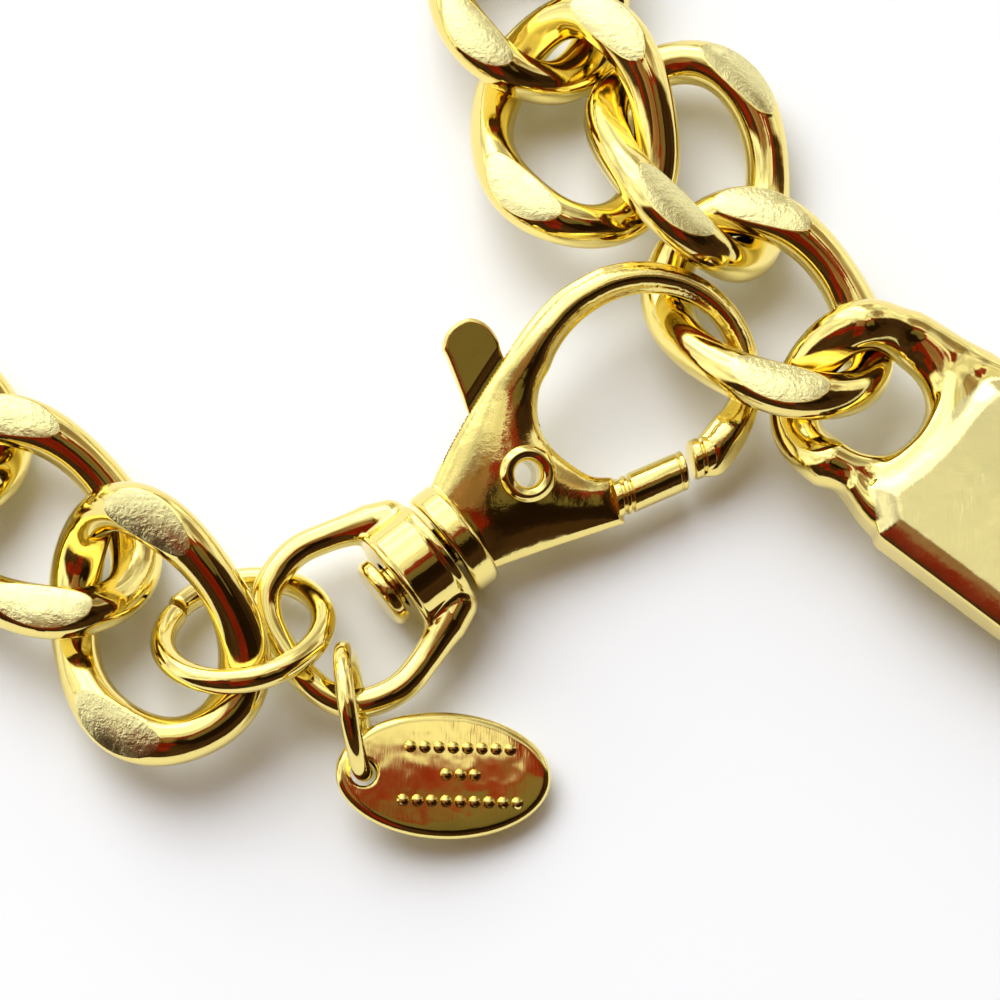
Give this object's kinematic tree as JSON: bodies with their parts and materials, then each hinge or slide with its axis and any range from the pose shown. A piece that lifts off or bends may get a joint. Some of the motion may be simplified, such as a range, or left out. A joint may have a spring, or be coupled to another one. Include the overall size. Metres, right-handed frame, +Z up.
{
  "type": "necklace",
  "caption": "Curb-link chain necklace with a swivel lobster clasp, a split ring with a small oval tag and a plain bar drop, lying flat in a closed loop.",
  "frame": {"origin": "middle of the necklace's box, on the plane that it lies on", "axes": "+Z up, away from the plane it lies on; +X to the right and +Y away from the viewer; the clasp's hook points between +X and +Y"},
  "size_m": [0.162, 0.1672, 0.0077],
  "materials": {
    "bar": "polished gold plate",
    "clasp_body": "polished gold plate",
    "clasp_gate": "polished gold plate",
    "clasp_rivet": "polished gold plate",
    "jump_ring": "polished gold plate",
    "link_01": "polished gold plate",
    "link_02": "polished gold plate",
    "link_03": "polished gold plate",
    "link_04": "polished gold plate",
    "link_05": "polished gold plate",
    "link_06": "polished gold plate",
    "link_07": "polished gold plate",
    "link_08": "polished gold plate",
    "link_09": "polished gold plate",
    "link_10": "polished gold plate",
    "link_11": "polished gold plate",
    "link_12": "polished gold plate",
    "link_13": "polished gold plate",
    "link_14": "polished gold plate",
    "link_15": "polished gold plate",
    "link_16": "polished gold plate",
    "link_17": "polished gold plate",
    "link_18": "polished gold plate",
    "link_19": "polished gold plate",
    "link_20": "polished gold plate",
    "link_21": "polished gold plate",
    "link_22": "polished gold plate",
    "link_23": "polished gold plate",
    "link_24": "polished gold plate",
    "link_25": "polished gold plate",
    "link_26": "polished gold plate",
    "link_27": "polished gold plate",
    "link_28": "polished gold plate",
    "link_29": "polished gold plate",
    "link_30": "polished gold plate",
    "link_31": "polished gold plate",
    "link_32": "polished gold plate",
    "link_33": "polished gold plate",
    "link_34": "polished gold plate",
    "link_35": "polished gold plate",
    "link_36": "polished gold plate",
    "link_37": "polished gold plate",
    "link_left_end": "polished gold plate",
    "link_left_next": "polished gold plate",
    "link_top_end": "polished gold plate",
    "link_top_fourth": "polished gold plate",
    "link_top_second": "polished gold plate",
    "link_top_third": "polished gold plate",
    "swivel_eye": "polished gold plate",
    "tag": "polished gold plate",
    "tag_ring": "polished gold plate"
  },
  "bodies": {
    "necklace": {"bar": "bar", "clasp_body": "clasp_body", "clasp_rivet": "clasp_rivet", "jump_ring": "jump_ring", "link_01": "link_01", "link_02": "link_02", "link_03": "link_03", "link_04": "link_04", "link_05": "link_05", "link_06": "link_06", "link_07": "link_07", "link_08": "link_08", "link_09": "link_09", "link_10": "link_10", "link_11": "link_11", "link_12": "link_12", "link_13": "link_13", "link_14": "link_14", "link_15": "link_15", "link_16": "link_16", "link_17": "link_17", "link_18": "link_18", "link_19": "link_19", "link_20": "link_20", "link_21": "link_21", "link_22": "link_22", "link_23": "link_23", "link_24": "link_24", "link_25": "link_25", "link_26": "link_26", "link_27": "link_27", "link_28": "link_28", "link_29": "link_29", "link_30": "link_30", "link_31": "link_31", "link_32": "link_32", "link_33": "link_33", "link_34": "link_34", "link_35": "link_35", "link_36": "link_36", "link_37": "link_37", "link_left_end": "link_left_end", "link_left_next": "link_left_next", "link_top_end": "link_top_end", "link_top_fourth": "link_top_fourth", "link_top_second": "link_top_second", "link_top_third": "link_top_third", "swivel_eye": "swivel_eye", "tag": "tag", "tag_ring": "tag_ring"},
    "gate": {"clasp_gate": "clasp_gate"}
  },
  "joints": [
    {"name": "gate_pivot", "type": "hinge", "parent": "necklace", "child": "gate", "pos_m": [0.02734, -0.05717, 0.00338], "axis": [0.1646, -0.2909, 0.9425], "range_deg": [0, 25], "stiffness_Nm_per_rad": 0.005, "springref_deg": -22.92}
  ]
}
